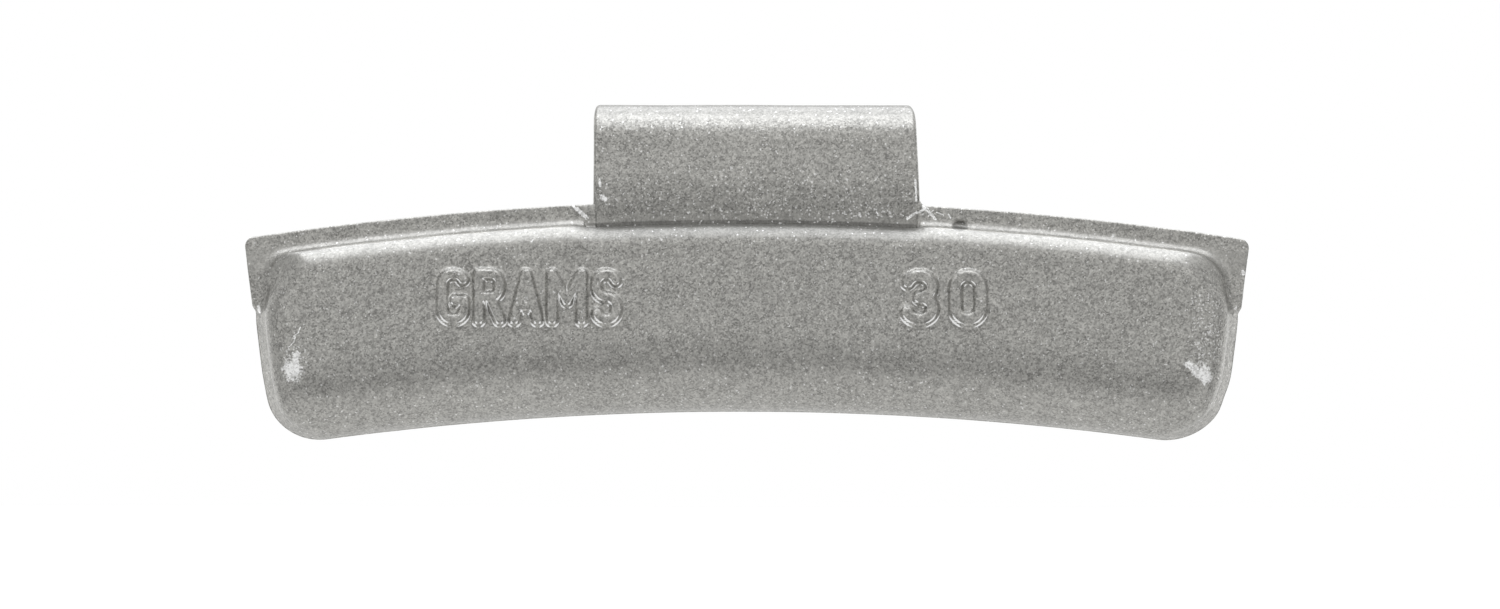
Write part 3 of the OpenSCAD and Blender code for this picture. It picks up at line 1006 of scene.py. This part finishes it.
CLIP_MARKS = [
    ((-10.35, 7.82), (-10.12, 7.70), 0.17),
    ((-10.56, 9.05), (-10.52, 8.60), 0.09),
    ((12.03, 9.05), (12.10, 7.55), 0.065),
    ((11.45, 6.28), (12.30, 6.85), 0.09),
    ((8.02, 6.68), (8.12, 6.45), 0.075),
    ((6.95, 6.62), (7.10, 6.58), 0.03),
    ((9.26, 6.74), (9.36, 6.62), 0.05),
    ((10.98, 6.62), (11.20, 6.50), 0.03),
]
# On the casting the glittering spots are painted sparkle, where lamp reflections fall along both
# ends.
CASTING_GLITTER = [((32.7, -1.8), (1.3, 3.8), 0.16), ((-32.2, -3.6), (1.3, 1.9), 0.12)]
CLIP_GLITTER = [((1.0, 7.6), (14.5, 2.7), 0.055), ((8.6, 6.7), (3.4, 0.6), 0.16)]


def glittering(s, chance, everywhere, spots):
    """1 on the flakes that shine: a flake's own random number with the local share added."""
    local = None
    for centre, half, share_here in spots:
        near = s.place.away_from(centre, half).ramp(0.4, 1.1, share_here, 0)
        local = near if local is None else local | near
    return (chance + local * s.front + everywhere).maths("GREATER_THAN", 1.0)


def painted_crease_light_and_shade(s, c):
    """How much shade is painted on: in the crease under the clip, which is a thin band beside the
    boss's top arc, just below it where the clip shades the boss's top, and in the pit. Away from
    the clip painted light makes that crease paler, so the mask is below 0 there."""
    arc = c.boss_radius
    from_arc = abs(s.radius - (arc - 0.03))
    off = abs(s.x - 0.35)
    band = from_arc.ramp(0.10, 0.22, 1, 0) * off.ramp(11.4, 12.1, 1, 0)
    below = s.radius.ramp(arc - 1.5, arc - 0.3, 0, 0.95) * off.ramp(10.6, 12.6, 1, 0)
    below = below * s.radius.ramp(arc - 0.08, arc + 0.06, 1, 0)
    pit = s.place.away_from(PIT_CENTRE, PIT_HALF).ramp(0.75, 1.05, 1, 0)
    pit = pit * s.z.ramp(PIT_CENTRE[1] - 0.07, PIT_CENTRE[1] + 0.18, 0.55, 1)
    # Painted light: the crease is made paler away from the clip.
    pale = from_arc.ramp(0.03, 0.13, 1.1, 0) * off.ramp(12.4, 13.2)
    pale = pale * off.ramp(30.0, 31.6, 1, 0) * (1.0 - pit)
    return ((band | below | pit) - pale) * s.front


def painted_edge_highlights(s):
    """Painted highlights where the raised characters' sides face down to the left or right: how
    near the normal is to either of two directions."""
    lean, down = 0.357, 0.390
    out = -math.sqrt(1 - lean ** 2 - down ** 2)
    facing = s.normal.dot((-lean, out, -down)) | s.normal.dot((lean, out, -down))
    on_face = abs(s.x + 2.3).ramp(20.5, 21.5, 1, 0) * s.z.ramp(2.9, 3.3, 1, 0)
    return facing.ramp(0.966, 0.990) * on_face


def calmer_paint(s, c):
    """1 on most of the part, and less on the boss's top rounding and on the clip's crest,
    where the paint lies smoother."""
    rounding = s.radius.ramp(c.boss_radius - 1.4, c.boss_radius - 0.9)
    rounding = rounding * s.radius.ramp(c.boss_radius + 0.4, c.boss_radius + 0.7, 1, 0)
    return 1.0 - (rounding | s.z.ramp(13.1, 13.6)) * 0.42


def clip_painted_shade(s):
    """Painted shade on the clip's paint: greyer over the top of the crest, and darker on the front
    leg towards the casting."""
    painted_root_shade = s.z.ramp(7.0, 9.4, 0.13, 0) * s.front
    return s.z.ramp(13.55, 13.85, 1, 0.80) * (1.0 - painted_root_shade)


def new_material(name, constants):
    """A material and its Principled shader, with that shader's constant inputs set."""
    material = bpy.data.materials.new(name)
    material.use_nodes = True
    shader = material.node_tree.nodes["Principled BSDF"]
    for key, value in constants.items():
        shader.inputs[key].default_value = value
    return material, shader


def paint_material(name, paint, c, roughness, marks_and_glints, spots, shade=None):
    """Silver paint: cells of flakes that differ in tone and in tilt, a few that shine, painted
    shade in the crease under the clip and painted light along it elsewhere, a soft orange peel,
    metal showing where the paint is rubbed, and painted highlights in that rubbed-through colour:
    glints at the casting's lower corners and on the characters' lower edges."""
    material, shader = new_material(name, {"Metallic": paint.metallic, "Roughness": roughness})
    tree = material.node_tree
    s = surface(tree, c)
    calm = calmer_paint(s, c)
    flakes = s.place.cells(paint.flake)
    fine, shine_chance, wear_and_glint_chance = flakes.parts("Color")
    coarse = s.place.cells(2.3 * paint.flake).parts("Color")[0]
    contrast = s.radius.ramp(c.lower_radius + 2.0, c.lower_radius + 4.5, 0.85, 1) * calm
    tone = (fine * 0.7 + coarse * 0.3 - 0.5) * (2 * paint.contrast) * contrast
    tone = tone + s.place.noise(2.2).ramp(0.3, 0.7, 0.96, 1.04)
    # Painted shade in the crease under the clip and in the pit, and painted light along the crease
    # elsewhere.
    tone = tone * (1.0 - painted_crease_light_and_shade(s, c) * 0.42)
    if shade:
        tone = tone * shade(s)
    shine = glittering(s, shine_chance, paint.glitter, spots)
    # Rubbed spots, and on the casting painted glints at the lower corners.
    worn_or_glinting = rubbed(s, marks_and_glints) * wear_and_glint_chance.ramp(0.1, 0.6, 0.55, 1)
    mixed = add_node(tree, "ShaderNodeMix", data_type="RGBA")
    factor, painted, bare_and_highlight = mixed.inputs["Factor"], mixed.inputs[6], mixed.inputs[7]
    # Rubbed spots, painted glints, shining flakes and painted highlights on the characters' lower
    # edges take the rubbed-through colour.
    (worn_or_glinting | shine * 0.5 | painted_edge_highlights(s) * 0.95).into(factor)
    (tone * (*paint.base,)).into(painted)
    bare_and_highlight.default_value = (*paint.bare_and_highlight, 1)
    tree.links.new(mixed.outputs[2], shader.inputs["Base Color"])
    tilted = (flakes - (0.5, 0.5, 0.5)) * (paint.tilt, paint.tilt, paint.tilt) * calm
    on_top = s.radius.ramp(c.boss_radius - 2.0, c.boss_radius - 1.0)
    streaks = (s.place * (0.1, 1, 1)).noise(0.3) * on_top * 2.2
    height = (s.place.noise(0.9, detail=1) + streaks) * (paint.orange_peel * MM)
    bumped = height.through("ShaderNodeBump", "Normal", {"Strength": 1.0, "Distance": 1.0},
                            entry="Height")
    (s.normal + tilted).maths("NORMALIZE").into(bumped.socket.node.inputs["Normal"])
    bumped.into(shader.inputs["Normal"])
    return material


class OBJECT_OT_weight_casting(bpy.types.Operator):
    """Builds the painted zinc casting with its raised characters"""

    bl_idname = "object.weight_casting"
    bl_label = "Zinc casting"

    def execute(self, context):
        scene = context.scene
        c = casting_plan(scene.weight_casting)
        points, quads, triangles = casting_mesh(
            c, in_millimetres(scene.weight_clip), in_millimetres(scene.weight_lettering))
        piece = put_mesh("painted_casting", points, quads, triangles)
        paint = in_millimetres(scene.weight_paint)
        piece.data.materials.append(paint_material(
            "silver_paint_on_zinc", paint, c, paint.cast_roughness, CASTING_WEAR_AND_GLINTS,
            CASTING_GLITTER))
        hand_over(piece, CASTING_NODE)
        return {"FINISHED"}


class OBJECT_OT_weight_clip(bpy.types.Operator):
    """Builds the bent spring clip that is cast into the body"""

    bl_idname = "object.weight_clip"
    bl_label = "Spring clip"

    def execute(self, context):
        scene = context.scene
        c = casting_plan(scene.weight_casting)
        points, quads, triangles = clip_mesh(in_millimetres(scene.weight_clip), c)
        piece = put_mesh("painted_clip", points, quads, triangles)
        paint = in_millimetres(scene.weight_paint)
        piece.data.materials.append(paint_material(
            "silver_paint_on_steel", paint, c, paint.roughness, CLIP_MARKS, CLIP_GLITTER,
            clip_painted_shade))
        hand_over(piece, CLIP_NODE)
        return {"FINISHED"}


def seen_rays(tree):
    """1 for a camera, glossy or transmission ray and 0 for any other."""
    rays = add_node(tree, "ShaderNodeLightPath").outputs
    camera, glossy, transmitted = (Field(tree, rays[f"Is {kind} Ray"])
                                   for kind in ("Camera", "Glossy", "Transmission"))
    return camera | glossy | transmitted


def white_surround(world, strength):
    """A white world: strength 1 where it is seen, mirrored or looked through."""
    world.use_nodes = True
    background = world.node_tree.nodes["Background"]
    background.inputs["Color"].default_value = WHITE
    level = seen_rays(world.node_tree) * (1 - strength) + strength
    level.into(background.inputs["Strength"])


def floor_material(name, glow):
    """Matt white that also glows a little where it is seen, and so still shows a shadow."""
    material, shader = new_material(name, {
        "Base Color": (0.9, 0.9, 0.9, 1), "Roughness": 0.9, "Specular IOR Level": 0.1,
        "Emission Color": WHITE})
    (seen_rays(material.node_tree) * glow).into(shader.inputs["Emission Strength"])
    return material


def flat_card(name, centre, size, angles, material):
    """A rectangle of the stage, in metres, turned by three angles in degrees."""
    across = np.array([(-1, -1, 0), (1, -1, 0), (1, 1, 0), (-1, 1, 0)]) / 2 * (*size, 1)
    matrix = np.array(Euler([math.radians(angle) for angle in angles]).to_matrix())
    points = (across @ matrix.T + np.array(centre)) / MM
    card = put_mesh(name, points, np.array([[0, 1, 2, 3]]), np.empty((0, 3), int))
    card.data.materials.append(material)
    return card


# Cards that only the paint mirrors: centre and size in metres, angles in degrees, strength.
CARDS = {
    "low_front_card": ((0, -0.5, -0.19), (1.4, 0.28), (90, 0, 0), 0.45),
    "left_front_card": ((-0.590, -0.065, 0.0), (0.34, 0.9), (90, 0, -80), 0.62),
    "right_front_card": ((0.590, -0.065, 0.0), (0.34, 0.9), (90, 0, 80), 0.58),
    "left_side_card": ((-0.6, 0.28, 0), (0.34, 0.8), (90, 0, 90), 0.82),
    "right_side_card": ((0.6, 0.28, 0), (0.34, 0.8), (90, 0, 90), 0.82),
    "left_rear_card": ((-0.6, 1.06, 0), (1.2, 0.8), (90, 0, 90), 1.4),
    "right_rear_card": ((0.6, 1.06, 0), (1.2, 0.8), (90, 0, 90), 1.4),
    "under_card": ((0, 0, -0.42), (1.2, 0.7), (0, 0, 0), 1.0),
}


def mirror_card(name, centre, size, angles, strength):
    """A glowing card that takes part in reflections alone and gives off no other light."""
    material, _ = new_material(name, {
        "Base Color": (0, 0, 0, 1), "Specular IOR Level": 0, "Emission Color": WHITE,
        "Emission Strength": strength})
    material.cycles.emission_sampling = "NONE"
    card = flat_card(name, centre, size, angles, material)
    for ray in ("camera", "diffuse", "transmission", "volume_scatter", "shadow"):
        setattr(card, f"visible_{ray}", False)


def soft_lamp(name, centre, size, watts):
    """A rectangular lamp, in metres, that points straight down."""
    data = bpy.data.lights.new(name, "AREA")
    data.shape = "RECTANGLE"
    data.size, data.size_y = size
    data.energy = watts
    data.color = (0.93, 0.95, 1.0)
    lamp = bpy.data.objects.new(name, data)
    bpy.context.scene.collection.objects.link(lamp)
    lamp.location = centre
    lamp.visible_camera = False


class OBJECT_OT_weight_studio(bpy.types.Operator):
    """Sets up the pale floor, the white surround, the lamps and the camera"""

    bl_idname = "object.weight_studio"
    bl_label = "Studio"

    def execute(self, context):
        scene = context.scene
        studio = scene.weight_studio
        scene.view_settings.view_transform = "Standard"
        scene.world = bpy.data.worlds.new("white_surround")
        white_surround(scene.world, studio.surround)
        floor = flat_card("floor", (0, 0, -studio.floor_drop), (12, 12), (0, 0, 0),
                          floor_material("pale_floor", 0.55))
        floor.visible_glossy = False
        for name, values in CARDS.items():
            mirror_card(name, *values)
        soft_lamp("overhead_lamp", (0, 0.20, 0.45), (0.6, 0.64), studio.overhead)
        soft_lamp("forward_lamp", (0, -0.25, 0.45), (0.6, 0.26), studio.forward)
        data = bpy.data.cameras.new("camera")
        data.lens = studio.focal_length
        data.sensor_width = 36
        data.clip_start, data.clip_end = 0.01, 20
        camera = bpy.data.objects.new("camera", data)
        scene.collection.objects.link(camera)
        camera.location = (studio.aim_x, -studio.distance, studio.aim_z)
        camera.rotation_euler = (QUARTER, studio.roll, 0)
        scene.camera = camera
        return {"FINISHED"}


class VIEW3D_PT_balance_weight(bpy.types.Panel):
    """Sizes, colours and buttons of the balance weight"""

    bl_label = "Balance weight"
    bl_idname = "VIEW3D_PT_balance_weight"
    bl_space_type = "VIEW_3D"
    bl_region_type = "UI"
    bl_category = "Balance weight"

    def draw(self, context):
        layout = self.layout
        for name, (_, operator) in GROUPS.items():
            box = layout.box()
            settings = getattr(context.scene, name)
            for prop in settings.bl_rna.properties:
                if prop.identifier not in OWN_PROPERTIES:
                    box.prop(settings, prop.identifier)
            if operator:
                box.operator(operator)


GROUPS = {
    "weight_casting": (CastingSettings, "object.weight_casting"),
    "weight_lettering": (LetteringSettings, None),
    "weight_clip": (ClipSettings, "object.weight_clip"),
    "weight_paint": (PaintSettings, None),
    "weight_studio": (StudioSettings, "object.weight_studio"),
}
CLASSES = (*(settings for settings, _ in GROUPS.values()), OBJECT_OT_weight_casting,
           OBJECT_OT_weight_clip, OBJECT_OT_weight_studio, VIEW3D_PT_balance_weight)


def register():
    for item in CLASSES:
        bpy.utils.register_class(item)
    for name, (settings, _) in GROUPS.items():
        setattr(bpy.types.Scene, name, PointerProperty(type=settings))


def unregister():
    for name in GROUPS:
        delattr(bpy.types.Scene, name)
    for item in reversed(CLASSES):
        bpy.utils.unregister_class(item)


def main():
    """Registers the add-on and builds both pieces and the studio."""
    register()
    bpy.ops.object.weight_casting()
    bpy.ops.object.weight_clip()
    bpy.ops.object.weight_studio()


if __name__ == "__main__":
    main()
